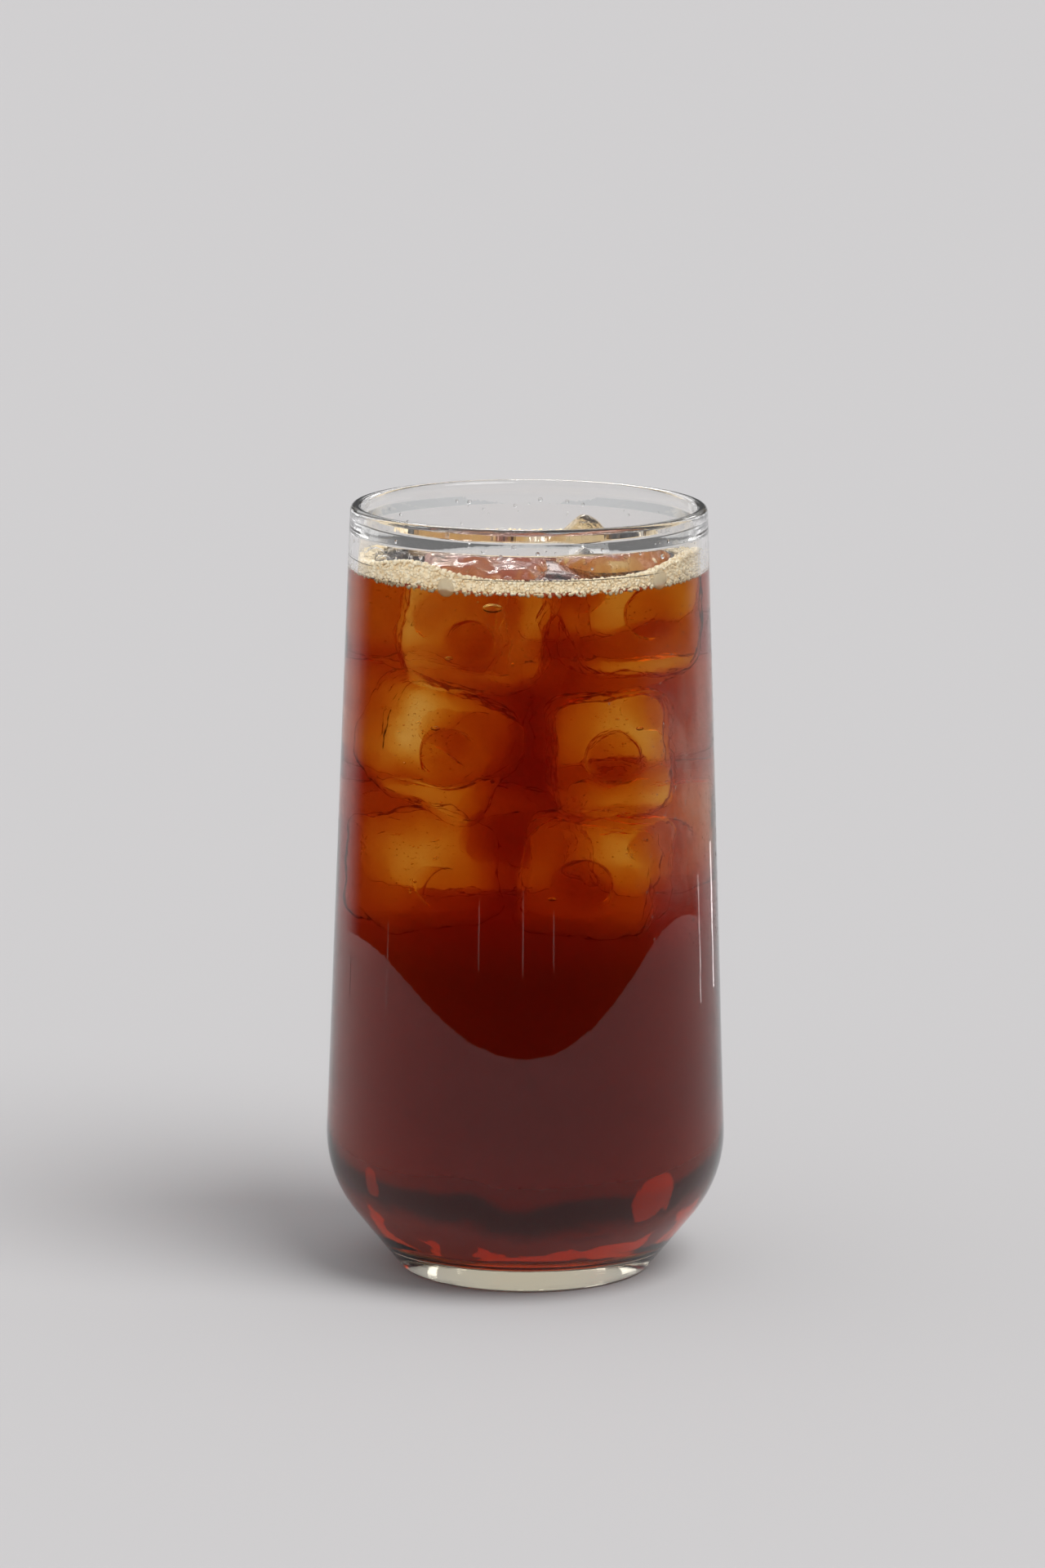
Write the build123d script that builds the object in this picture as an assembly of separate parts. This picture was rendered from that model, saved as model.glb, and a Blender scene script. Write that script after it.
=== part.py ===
"""Iced coffee in a tall tumbler: the glass, the drink, its ring of froth and the ice that breaks the surface.

Millimetres. +Z is up, and the origin is the middle of the foot, on the surface the glass stands on.
-Y is the side that most dimples in the ice face. Bearings are in degrees about Z, from +X.
"""

from build123d import *
import math
import os

# Outside of the glass. The shoulder's radius and height are those of its corner before it is rounded.
glass_height = 150.0
mouth_radius = 34.4
shoulder_radius = 39.2
shoulder_height = 18.5
shoulder_round = 23.8
foot_radius = 24.4
foot_round = 1.5

# Walls and base of the glass
wall_at_mouth = 1.7
wall_at_shoulder = 2.3
base_thickness = 6.0
inner_base_round = 9.0

# Fire-polished bead at the rim, which stands proud on the inside only
bead_thickness = 2.3
bead_depth = 2.6
bead_run_out = 2.4
rim_flat = 0.1

# Hollow under the foot, so that the glass stands on a ring
hollow_radius = 18.0
hollow_depth = 0.9

# Drink: how far its level lies under the rim
headroom = 10.6

# Froth: a thin ring against the wall, deeper at the front, with two humps
froth_below = 0.6
froth_above = 0.5
froth_front_drop = 0.7
froth_front_rise = 0.7
froth_width = 2.4
froth_width_swing = 0.9
froth_lobes = 3
froth_lobe_bearing = -34
# Bearing on the wall, spread and rise of each hump
froth_humps = [(-130, 9.0, 1.9), (-23, 11.0, 2.4)]

# Ice cubes: rounded, slightly tapered, with a dimple left by the ice maker's finger
ice_corner = 4.5
ice_edge_round = 3.0
ice_draft = 3.0
dimple_mouth = 6.5
dimple_tip = 2.6
dimple_tip_round = 2.0
dimple_depth = 8.0

# The cubes that break the surface: width, depth and height; bearing of the middle, its distance
# from the wall and its depth below the level of the drink; tilt about X, Y and Z.
floating_ice = {
    "ice_1": ((25.0, 22.0, 25.0), (-120, 16.3, 9.5), (2, 5, -6)),
    "ice_2": ((22.0, 22.0, 24.0), (-13, 15.6, 9.0), (-7, 0, 26)),
    "ice_3": ((20.0, 20.0, 22.0), (144, 14.5, 9.5), (10, -6, 21)),
    "ice_4": ((19.0, 19.0, 21.0), (70, 12.8, 5.5), (4, -12, -23)),
}

# The froth is cut from a blank: how far that reaches up and down, and past the wall, and how far
# the sheets that shape its faces reach past the wall
froth_reach = 12.0
blank_margin = 1.0
sheet_margin = 2.0
sheet_steps = 18
edge_steps = 24


def toward(start, end):
    """Unit vector from start to end."""
    return (Vector(*end) - Vector(*start)).normalized()


coffee_level = glass_height - headroom
foot_corner = (foot_radius, 0)
shoulder_corner = (shoulder_radius, shoulder_height)
mouth_corner = (mouth_radius, glass_height)
up_wall = toward(shoulder_corner, mouth_corner)
down_heel = toward(shoulder_corner, foot_corner)
inward = (up_wall + down_heel).normalized()
half_turn = math.radians(up_wall.get_angle(down_heel)) / 2
inner_shoulder = Vector(*shoulder_corner) + inward * (wall_at_shoulder / math.sin(half_turn))
floor_run = (inner_shoulder.Y - base_thickness) / abs(down_heel.Y)
inner_floor_corner = inner_shoulder + down_heel * floor_run
inner_shoulder_round = shoulder_round - wall_at_shoulder


def inner_radius(height):
    """Radius of the straight part of the inner wall at a height."""
    share = (height - inner_shoulder.Y) / (glass_height - inner_shoulder.Y)
    return inner_shoulder.X + (mouth_radius - wall_at_mouth - inner_shoulder.X) * share


def on_wall(height):
    """Point of the inner outline at a height: radius and height."""
    return (inner_radius(height), height)


def inner_wall(top):
    """Inner outline from a height on the wall down to the middle of the floor."""
    shoulder = (inner_shoulder.X, inner_shoulder.Y)
    return [on_wall(top), shoulder, (inner_floor_corner.X, base_thickness), (0, base_thickness)]


def turned(outline):
    """Solid of revolution about Z of an outline given as radius and height."""
    return revolve(Plane.XZ * make_face(outline), Axis.Z)


def hollow_height(radius):
    """Height of the shallow dome under the foot at a radius."""
    dome = (hollow_radius**2 + hollow_depth**2) / (2 * hollow_depth)
    return hollow_depth - dome + math.sqrt(dome**2 - radius**2)


def make_glass():
    bead_bottom = glass_height - bead_depth
    bead_inside = mouth_radius - bead_thickness
    rim_round = (bead_thickness - rim_flat) / 2
    outside = [(hollow_radius, 0), foot_corner, shoulder_corner, mouth_corner]
    bead = [(bead_inside, glass_height), (bead_inside, bead_bottom)]
    inside = inner_wall(bead_bottom - bead_run_out)
    rounds = [foot_round, shoulder_round, rim_round, rim_round, bead_run_out, bead_run_out]
    rounds += [inner_shoulder_round, inner_base_round]
    skin = FilletPolyline(*outside, *bead, *inside, radius=rounds)
    half = hollow_radius / 2
    hollow = ThreePointArc((0, hollow_depth), (half, hollow_height(half)), (hollow_radius, 0))
    axis = Line((0, base_thickness), (0, hollow_depth))
    return turned(skin + hollow + axis)


def make_filling():
    """Everything inside the glass up to the level of the drink."""
    side = FilletPolyline(*inner_wall(coffee_level), radius=[inner_shoulder_round, inner_base_round])
    top = Polyline((0, base_thickness), (0, coffee_level), on_wall(coffee_level))
    return turned(side + top)


def around(bearing, radius):
    """Place on the surface of the drink, from a bearing and a radius."""
    angle = math.radians(bearing)
    return radius * math.cos(angle), radius * math.sin(angle)


def frontness(y):
    """1 at the front of the wall, 0 at the back."""
    return (1 - y / inner_radius(coffee_level)) / 2


def froth_top(x, y):
    height = coffee_level + froth_above + froth_front_rise * frontness(y)
    for bearing, spread, rise in froth_humps:
        hump_x, hump_y = around(bearing, inner_radius(coffee_level))
        distance = math.hypot(x - hump_x, y - hump_y)
        height += rise * math.exp(-((distance / spread) ** 2))
    return height


def froth_underside(x, y):
    return coffee_level - froth_below - froth_front_drop * frontness(y)


def sheet(height_at):
    """Smooth sheet over the whole mouth whose height follows height_at(x, y)."""
    reach = inner_radius(coffee_level) + sheet_margin
    places = [reach * (2 * i / sheet_steps - 1) for i in range(sheet_steps + 1)]
    rows = [[Vector(x, y, height_at(x, y)) for y in places] for x in places]
    return Face.make_surface_from_array_of_points(rows)


def froth_inner_edge():
    """Closed curve that the froth ring stops at, in lobes, and wider at the front than at the back."""
    points = []
    for i in range(edge_steps):
        bearing = 360 * i / edge_steps
        lobe = math.cos(math.radians(froth_lobes * (bearing - froth_lobe_bearing)))
        swing = (lobe - math.sin(math.radians(bearing))) / 2
        width = froth_width + froth_width_swing * swing
        points.append(around(bearing, inner_radius(coffee_level) - width))
    return Spline(*points, periodic=True)


def froth_blank():
    """The froth ring before it is trimmed to the wall."""
    low = coffee_level - froth_reach
    tall = 2 * froth_reach
    reach = inner_radius(coffee_level) + blank_margin
    opening = Plane.XY.offset(low) * make_face(froth_inner_edge())
    disc = Plane.XY.offset(low) * Circle(reach)
    above = Solid.extrude(sheet(froth_underside), (0, 0, tall))
    below = Solid.extrude(sheet(froth_top), (0, 0, -tall))
    return (extrude(disc, tall) - extrude(opening, tall)) & above & below


def inside_wall():
    """The room inside the wall, past the froth above and below."""
    low = coffee_level - froth_reach
    high = coffee_level + froth_reach
    return turned(Polyline((0, low), on_wall(low), on_wall(high), (0, high), close=True))


def ice_cube(width, depth, height):
    """Cube with its middle at the origin and its dimple in the -Y side."""
    footprint = RectangleRounded(width, depth, ice_corner)
    block = Pos(0, 0, -height / 2) * extrude(footprint, height, taper=ice_draft)
    ends = block.faces().sort_by(Axis.Z)
    block = fillet(ends[0].edges() + ends[-1].edges(), ice_edge_round)
    finger = Cone(dimple_mouth, dimple_tip, dimple_depth, align=(Align.CENTER, Align.CENTER, Align.MIN))
    finger = fillet(finger.faces().sort_by(Axis.Z)[-1].edges(), dimple_tip_round)
    return block - Pos(0, -depth / 2, 0) * Rot(-90, 0, 0) * finger


def place_ice(size, place, tilt):
    bearing, from_wall, depth = place
    x, y = around(bearing, inner_radius(coffee_level) - from_wall)
    return Pos(x, y, coffee_level - depth) * Rot(*tilt) * ice_cube(*size)


def main():
    ice = {name: place_ice(*facts) for name, facts in floating_ice.items()}
    blank = froth_blank()
    froth = blank & inside_wall()
    coffee = make_filling() - blank
    for cube in ice.values():
        froth -= cube
        coffee -= cube
    nodes = {"glass": make_glass(), "coffee": coffee, "froth_ring": froth, **ice}
    os.makedirs("parts", exist_ok=True)
    for name, shape in nodes.items():
        export_step(shape, "parts/" + name + ".step")
        print(name, len(shape.solids()), "solid", round(shape.volume), "mm3")


main()
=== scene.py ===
"""Looks of the iced coffee: its glass, the drink, the ice in it, the froth and the beads of water."""

import math
import random

import bmesh
import bpy
import numpy as np
from mathutils import Euler, Matrix, Vector, noise


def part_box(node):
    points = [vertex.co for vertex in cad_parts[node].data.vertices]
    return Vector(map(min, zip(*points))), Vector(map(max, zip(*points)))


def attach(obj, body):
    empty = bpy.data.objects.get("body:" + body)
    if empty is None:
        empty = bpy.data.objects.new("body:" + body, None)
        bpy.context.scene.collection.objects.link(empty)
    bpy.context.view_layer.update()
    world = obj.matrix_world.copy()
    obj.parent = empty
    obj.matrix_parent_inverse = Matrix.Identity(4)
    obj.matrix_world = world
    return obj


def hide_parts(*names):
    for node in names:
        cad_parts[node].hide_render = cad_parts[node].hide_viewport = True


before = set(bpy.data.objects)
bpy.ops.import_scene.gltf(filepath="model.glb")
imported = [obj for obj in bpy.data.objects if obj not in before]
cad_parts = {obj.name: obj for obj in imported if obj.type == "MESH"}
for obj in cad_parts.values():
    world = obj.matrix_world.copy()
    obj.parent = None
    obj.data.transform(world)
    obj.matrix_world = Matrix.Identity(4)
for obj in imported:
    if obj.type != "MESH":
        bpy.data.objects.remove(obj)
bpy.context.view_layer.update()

MM = 0.001

# -------- sizes, as the glass was made

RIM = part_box("glass")[1].z
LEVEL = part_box("coffee")[1].z
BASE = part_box("coffee")[0].z

MOUTH_RADIUS = 34.4 * MM
SHOULDER_CORNER = (39.2 * MM, 18.5 * MM)
SHOULDER_ROUND = 23.8 * MM
FOOT_RADIUS = 24.4 * MM
FOOT_ROUND = 1.5 * MM
WALL_AT_MOUTH = 1.7 * MM
WALL_AT_SHOULDER = 2.3 * MM
INNER_BASE_ROUND = 9 * MM
BEAD_THICKNESS = 2.3 * MM
BEAD_DEPTH = 2.6 * MM
BEAD_RUN_OUT = 2.4 * MM
RIM_ROUND = 1.1 * MM
HOLLOW_RADIUS = 18 * MM
HOLLOW_DEPTH = 0.9 * MM

# What fills the glass reaches this far into its wall, and a face this near it counts as on it.
INTO_WALL = 0.1 * MM
ON_WALL = 0.3 * MM

# The inside of the moulded heel is uneven, and only ever thicker than drawn. Its waves are this deep
# and long, end at the top height, fade in over the low one, and lift the face by a share of their depth.
HEEL_WAVES = 0.36 * MM
HEEL_WAVE_LENGTH = 7 * MM
HEEL_RIPPLE_LENGTH = HEEL_WAVE_LENGTH / 2.3
HEEL_WAVES_TOP = 20 * MM
HEEL_WAVES_LOW = 2.5 * MM
HEEL_WAVE_LIFT = 0.6

# How finely round and straight outlines are divided, and what counts as nothing
SIDES = 256
ARC_STEPS = 12
STEP = 4 * MM
FILM_STEP = 3 * MM
HEEL_STEP = 1 * MM
TINY = 1e-6

# -------- meshes


def new_object(name, mesh):
    piece = bpy.data.objects.new(name, mesh)
    bpy.context.scene.collection.objects.link(piece)
    return piece


def smooth(mesh):
    mesh.polygons.foreach_set("use_smooth", [True] * len(mesh.polygons))


def from_bmesh(name, bm):
    """Object from a bmesh, its faces turned outwards and shaded smooth."""
    bmesh.ops.recalc_face_normals(bm, faces=bm.faces)
    mesh = bpy.data.meshes.new(name)
    bm.to_mesh(mesh)
    bm.free()
    smooth(mesh)
    return new_object(name, mesh)


def unit(start, end):
    return (Vector(end) - Vector(start)).normalized()


def smoothstep(value):
    value = min(max(value, 0.0), 1.0)
    return value * value * (3 - 2 * value)


def at_bearing(bearing, radius, height):
    angle = math.radians(bearing)
    return Vector((radius * math.cos(angle), radius * math.sin(angle), height))


def join_rows(bm, rows):
    """Makes the faces between the corners of neighbouring rows."""
    for row, after in zip(rows, rows[1:]):
        for j in range(len(row) - 1):
            bm.faces.new((row[j], after[j], after[j + 1], row[j + 1]))


def rounded(corners, rounds):
    """Outline through corners given as (radius, height), each inner corner rounded to its own radius."""
    points = [Vector(corners[0])]
    for before, corner, after, radius in zip(corners, corners[1:], corners[2:], rounds):
        here = Vector(corner)
        back = unit(corner, before)
        ahead = unit(corner, after)
        half = back.angle(ahead) / 2
        run = radius / math.tan(half)
        middle = here + (back + ahead).normalized() * (radius / math.sin(half))
        start = here + back * run - middle
        end = here + ahead * run - middle
        turn = start.angle_signed(end)
        for i in range(ARC_STEPS + 1):
            spoke = start.copy()
            spoke.rotate(Matrix.Rotation(-turn * i / ARC_STEPS, 2))
            points.append(middle + spoke)
    points.append(Vector(corners[-1]))
    return points


def divided(points, longest=STEP):
    """The same outline with no step longer than longest."""
    out = [points[0]]
    for start, end in zip(points, points[1:]):
        steps = max(1, math.ceil((end - start).length / longest))
        out += [start.lerp(end, (i + 1) / steps) for i in range(steps)]
    return out


def lathe(name, outline, slot_of=None):
    """Solid turned from an outline that starts and ends on the axis. slot_of(middle) picks a slot."""
    bm = bmesh.new()
    rings = []
    for radius, height in outline:
        if radius < TINY:
            rings.append([bm.verts.new((0, 0, height))])
            continue
        angles = [2 * math.pi * i / SIDES for i in range(SIDES)]
        ring = [bm.verts.new((radius * math.cos(a), radius * math.sin(a), height)) for a in angles]
        rings.append(ring)
    for lower, upper, start, end in zip(rings, rings[1:], outline, outline[1:]):
        slot = slot_of((Vector(start) + Vector(end)) / 2) if slot_of else 0
        for i in range(SIDES):
            corners = [ring[i % len(ring)] for ring in (lower, upper)]
            corners += [ring[(i + 1) % len(ring)] for ring in (upper, lower)]
            face = bm.faces.new(list(dict.fromkeys(corners)))
            face.material_index = slot
    return from_bmesh(name, bm)


# -------- the glass's outline


def inner_corners(into_wall=0.0):
    """Corners of the inside of the glass, from the shoulder to the middle of the floor."""
    up = unit(SHOULDER_CORNER, (MOUTH_RADIUS, RIM))
    down = unit(SHOULDER_CORNER, (FOOT_RADIUS, 0))
    half = up.angle(down) / 2
    wall = WALL_AT_SHOULDER - into_wall
    shoulder = Vector(SHOULDER_CORNER) + (up + down).normalized() * (wall / math.sin(half))
    base = BASE - into_wall
    floor_corner = shoulder + down * ((shoulder.y - base) / abs(down.y))
    return [shoulder, Vector((floor_corner.x, base)), Vector((0, base))]


def inner_radius(height, into_wall=0.0):
    """Radius of the straight part of the inner wall at a height."""
    shoulder = inner_corners(into_wall)[0]
    mouth = MOUTH_RADIUS - WALL_AT_MOUTH + into_wall
    return shoulder.x + (mouth - shoulder.x) * (height - shoulder.y) / (RIM - shoulder.y)


def outer_radius(height):
    """Radius of the straight part of the outer wall at a height."""
    corner_radius, corner_height = SHOULDER_CORNER
    share = (height - corner_height) / (RIM - corner_height)
    return corner_radius + (MOUTH_RADIUS - corner_radius) * share


def glass_outline():
    bead_bottom = RIM - BEAD_DEPTH
    wall_top = bead_bottom - BEAD_RUN_OUT
    bead_inside = MOUTH_RADIUS - BEAD_THICKNESS
    outside = [(HOLLOW_RADIUS, 0), (FOOT_RADIUS, 0), SHOULDER_CORNER, (MOUTH_RADIUS, RIM)]
    bead = [(bead_inside, RIM), (bead_inside, bead_bottom), (inner_radius(wall_top), wall_top)]
    rounds = [FOOT_ROUND, SHOULDER_ROUND, RIM_ROUND, RIM_ROUND, BEAD_RUN_OUT, BEAD_RUN_OUT]
    rounds += [SHOULDER_ROUND - WALL_AT_SHOULDER, INNER_BASE_ROUND]
    skin = [*hollow_outline(), *rounded([*outside, *bead, *inner_corners()], rounds)]
    top = max(range(len(skin)), key=lambda i: skin[i].y)
    froth_edge = next(i for i in range(top, len(skin)) if skin[i].y < FROTH_EDGE)
    skin.insert(froth_edge, Vector((inner_radius(FROTH_EDGE), FROTH_EDGE)))
    heel = next(i for i in range(top, len(skin)) if skin[i].y < HEEL_WAVES_TOP)
    return divided(skin[:heel + 1])[:-1] + divided(skin[heel:], HEEL_STEP)


def hollow_outline():
    """The shallow dome under the foot, from the axis to just short of its edge."""
    dome = (HOLLOW_RADIUS**2 + HOLLOW_DEPTH**2) / (2 * HOLLOW_DEPTH)
    steps = 8
    radii = [HOLLOW_RADIUS * i / steps for i in range(steps)]
    return [Vector((radius, HOLLOW_DEPTH - dome + math.sqrt(dome**2 - radius**2))) for radius in radii]


def wetted(place):
    """True where the drink touches the glass."""
    inside = BASE - TINY < place.y < FROTH_EDGE
    return inside and place.x < inner_radius(place.y, ON_WALL) and not outside_heel(place)


def outside_heel(place):
    """True on the outer side of the slanted heel, which lies further out than the inner one."""
    shoulder, floor_corner, _ = inner_corners(ON_WALL)
    if place.y > shoulder.y:
        return False
    share = (place.y - floor_corner.y) / (shoulder.y - floor_corner.y)
    return place.x > floor_corner.x + (shoulder.x - floor_corner.x) * share


# -------- the froth's outline

FROTH_BELOW = 0.6 * MM
FROTH_ABOVE = 0.5 * MM
FROTH_FRONT_DROP = 1.2 * MM
FROTH_FRONT_RISE = 0.1 * MM
FROTH_WIDTH = 2.4 * MM
FROTH_WIDTH_SWING = 0.9 * MM
FROTH_LOBES = 3
FROTH_LOBE_BEARING = -34
# Bearing on the wall, spread and rise of each hump
FROTH_HUMPS = [(-132, 10 * MM, 2.5 * MM), (-20, 12 * MM, 2.9 * MM)]
# Height on the wall, on average, under which the drink wets the glass
FROTH_EDGE = LEVEL - FROTH_BELOW - FROTH_FRONT_DROP / 2
# How round the ring's section is, across and up: at 1 it is an ellipse, and below that squarer
FROTH_ROUNDNESS = (0.5, 0.6)
FROTH_SIDES = 360
FROTH_CORNERS = 16


def froth_section(bearing):
    """The froth's lowest and highest point and its width at a bearing on the wall."""
    angle = math.radians(bearing)
    wall = inner_radius(LEVEL)
    x, y = wall * math.cos(angle), wall * math.sin(angle)
    front = (1 - y / wall) / 2
    low = LEVEL - FROTH_BELOW - FROTH_FRONT_DROP * front
    high = LEVEL + FROTH_ABOVE + FROTH_FRONT_RISE * front
    for hump, spread, rise in FROTH_HUMPS:
        at = math.radians(hump)
        distance = math.hypot(x - wall * math.cos(at), y - wall * math.sin(at))
        high += rise * math.exp(-((distance / spread) ** 2))
    lobe = math.cos(math.radians(FROTH_LOBES * (bearing - FROTH_LOBE_BEARING)))
    width = FROTH_WIDTH + FROTH_WIDTH_SWING * (lobe - math.sin(angle)) / 2
    return low, high, width


def froth_ring(name, inset, from_wall):
    """Ring of the froth's bulging section, drawn in by inset on every side and from the wall."""
    bm = bmesh.new()
    rings = []
    for i in range(FROTH_SIDES):
        bearing = 360 * i / FROTH_SIDES
        low, high, width = froth_section(bearing)
        outward = at_bearing(bearing, 1, 0)
        ring = []
        for j in range(FROTH_CORNERS):
            turn = 2 * math.pi * (j + 0.5) / FROTH_CORNERS
            out = math.copysign(abs(math.cos(turn)) ** FROTH_ROUNDNESS[0], math.cos(turn))
            up = math.copysign(abs(math.sin(turn)) ** FROTH_ROUNDNESS[1], math.sin(turn))
            height = (low + high) / 2 + ((high - low) / 2 - inset) * up
            outer = inner_radius(height) - from_wall
            inner = inner_radius(height) - width + inset
            radius = (outer + inner) / 2 + (outer - inner) / 2 * out
            ring.append(bm.verts.new(outward * radius + Vector((0, 0, height))))
        rings.append(ring)
    for ring, after in zip(rings, rings[1:] + rings[:1]):
        for j in range(FROTH_CORNERS):
            k = (j + 1) % FROTH_CORNERS
            bm.faces.new((ring[j], ring[k], after[k], after[j]))
    return from_bmesh(name, bm)


# -------- shader helpers


class Nodes:
    """Short hand for building a node tree."""

    def __init__(self, tree):
        self.tree = tree

    def add(self, kind, inputs=(), **settings):
        node = self.tree.nodes.new(kind)
        for key, value in settings.items():
            setattr(node, key, value)
        for key, value in dict(inputs).items():
            if isinstance(value, bpy.types.NodeSocket):
                self.tree.links.new(value, node.inputs[key])
            else:
                node.inputs[key].default_value = value
        return node

    def link(self, out, into):
        self.tree.links.new(out, into)


def new_group(name, inputs, outputs):
    """Shader node group with named sockets, and the nodes that hold its two ends."""
    tree = bpy.data.node_groups.new(name, "ShaderNodeTree")
    for socket, (kind, value) in inputs.items():
        tree.interface.new_socket(socket, in_out="INPUT", socket_type=kind).default_value = value
    for socket, kind in outputs.items():
        tree.interface.new_socket(socket, in_out="OUTPUT", socket_type=kind)
    nodes = Nodes(tree)
    return tree, nodes, nodes.add("NodeGroupInput"), nodes.add("NodeGroupOutput")


FLOAT = "NodeSocketFloat"
COLOUR = "NodeSocketColor"


def uneven_surface_group():
    """Height of a softly uneven surface, in two sizes of unevenness, stretched along Z if asked."""
    tree, nodes, ends, out = new_group(
        "uneven_surface",
        {"Broad Scale": (FLOAT, 100.0), "Fine Scale": (FLOAT, 600.0), "Fine Share": (FLOAT, 0.3),
         "Upright Stretch": (FLOAT, 1.0)},
        {"Height": FLOAT},
    )
    place = nodes.add("ShaderNodeTexCoord").outputs["Object"]
    stretch = ends.outputs["Upright Stretch"]
    squeeze = nodes.add("ShaderNodeMath", {0: 1.0, 1: stretch}, operation="DIVIDE")
    scale = nodes.add("ShaderNodeCombineXYZ", {"X": 1.0, "Y": 1.0, "Z": squeeze.outputs[0]})
    drawn = nodes.add("ShaderNodeVectorMath", {0: place, 1: scale.outputs[0]}, operation="MULTIPLY")
    broad, fine = [
        nodes.add("ShaderNodeTexNoise", {"Vector": drawn.outputs[0], "Scale": ends.outputs[size]})
        for size in ("Broad Scale", "Fine Scale")
    ]
    shares = {"Factor": ends.outputs["Fine Share"], "A": broad.outputs["Fac"], "B": fine.outputs["Fac"]}
    both = nodes.add("ShaderNodeMix", shares)
    nodes.link(both.outputs[0], out.inputs["Height"])
    return tree


def mottle_group():
    """Two colours mixed by a soft noise, for a surface that isn't one flat colour."""
    tree, nodes, ends, out = new_group(
        "mottle",
        {"Light": (COLOUR, (1, 1, 1, 1)), "Dark": (COLOUR, (0, 0, 0, 1)), "Scale": (FLOAT, 100.0),
         "Contrast": (FLOAT, 0.2)},
        {"Color": COLOUR},
    )
    place = nodes.add("ShaderNodeTexCoord").outputs["Object"]
    grain = nodes.add("ShaderNodeTexNoise", {"Vector": place, "Scale": ends.outputs["Scale"], "Detail": 4.0})
    low, high = [
        nodes.add("ShaderNodeMath", {0: 0.5, 1: ends.outputs["Contrast"]}, operation=side).outputs[0]
        for side in ("SUBTRACT", "ADD")
    ]
    limits = {"Value": grain.outputs["Fac"], "From Min": low, "From Max": high}
    mask = nodes.add("ShaderNodeMapRange", limits).outputs[0]
    colours = {"Factor": mask, "A": ends.outputs["Dark"], "B": ends.outputs["Light"]}
    mixed = nodes.add("ShaderNodeMix", colours, data_type="RGBA")
    nodes.link(colour_of(mixed), out.inputs["Color"])
    return tree


def colour_of(mix):
    """The colour output of a Mix node."""
    return next(s for s in mix.outputs if s.type == "RGBA")


UNEVEN = uneven_surface_group()
MOTTLE = mottle_group()


def new_material(name):
    """Material with a Principled shader: the material, its nodes and the shader."""
    material = bpy.data.materials.new(name)
    material.use_nodes = True
    return material, Nodes(material.node_tree), material.node_tree.nodes["Principled BSDF"]


def set_sockets(shader, values):
    for key, value in values.items():
        shader.inputs[key].default_value = value


def add_unevenness(nodes, shader, distance, **values):
    """Bump from the uneven surface group, straight into the shader's normal."""
    uneven = nodes.add("ShaderNodeGroup", node_tree=UNEVEN)
    set_sockets(uneven, {key.replace("_", " "): value for key, value in values.items()})
    relief = {"Height": uneven.outputs["Height"], "Distance": distance, "Strength": 1.0}
    bump = nodes.add("ShaderNodeBump", relief)
    nodes.link(bump.outputs["Normal"], shader.inputs["Normal"])
    return uneven


def add_mottle(nodes, shader, **values):
    """Mottled colour, straight into the shader's base colour."""
    mottle = nodes.add("ShaderNodeGroup", node_tree=MOTTLE)
    set_sockets(mottle, values)
    nodes.link(mottle.outputs["Color"], shader.inputs["Base Color"])


def finish_piece(piece, slot, *materials):
    for material in materials:
        piece.data.materials.append(material)
    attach(piece, "root")


# -------- materials

# How much each thing bends light, against air, and the ice against the drink round it
GLASS_BENDS = 1.5
WATER_BENDS = 1.333
ICE_BENDS = 1.31
ICE_IN_DRINK_BENDS = 0.983
WALL_BUBBLE_BENDS = 1.1
# Share of a plain reflection that the glass keeps
GLASS_SHINE = 0.72
GLASS_COLOUR = (0.992, 0.985, 0.973, 1)
GLASS_WAVES = 0.04 * MM
# How densely coffee of a given colour absorbs
COFFEE_DENSITY = 240.0
FILM_WAVES = 0.05 * MM
# How deep the ice's fine unevenness is
ICE_BUMP = 0.7 * MM


def clear_material(name, bends, colour=(1, 1, 1, 1), roughness=0.0):
    material, nodes, shader = new_material(name)
    set_sockets(shader, {"Base Color": colour, "Roughness": roughness, "IOR": bends,
                         "Transmission Weight": 1.0})
    return material, nodes, shader


def glass_material(name, bends):
    """Clear soda-lime glass, very slightly wavy, as it was drawn."""
    material, nodes, shader = clear_material(name, bends, GLASS_COLOUR)
    set_sockets(shader, {"Specular Tint": (GLASS_SHINE, GLASS_SHINE, GLASS_SHINE, 1)})
    add_unevenness(nodes, shader, GLASS_WAVES, Broad_Scale=160.0, Fine_Scale=900.0, Fine_Share=0.25,
                   Upright_Stretch=14.0)
    return material


def coffee_material(name, colour):
    """Black coffee: it only absorbs. The glass and the film on top bend the light where they touch it."""
    material, nodes, _ = clear_material(name, 1.0)
    absorb = nodes.add("ShaderNodeVolumeAbsorption", {"Color": colour, "Density": COFFEE_DENSITY})
    nodes.link(absorb.outputs[0], material.node_tree.nodes["Material Output"].inputs["Volume"])
    return material


def film_material():
    material, nodes, shader = clear_material("drink_surface", WATER_BENDS)
    add_unevenness(nodes, shader, FILM_WAVES, Broad_Scale=110.0, Fine_Scale=500.0, Fine_Share=0.3)
    return material


def ice_material(name, bends, colour=(1, 1, 1, 1), clearness=1.0):
    """Wet melting ice, softly uneven."""
    material, nodes, shader = clear_material(name, bends, colour)
    shader.inputs["Transmission Weight"].default_value = clearness
    add_unevenness(nodes, shader, ICE_BUMP, Broad_Scale=190.0, Fine_Scale=800.0, Fine_Share=0.2)
    return material


def froth_material():
    material, nodes, shader = new_material("coffee_froth")
    set_sockets(shader, {"Roughness": 0.35, "IOR": WATER_BENDS})
    light, dark = (0.97, 0.87, 0.66, 1), (0.82, 0.65, 0.4, 1)
    add_mottle(nodes, shader, Light=light, Dark=dark, Scale=900.0, Contrast=0.15)
    return material


# -------- the glass


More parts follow.
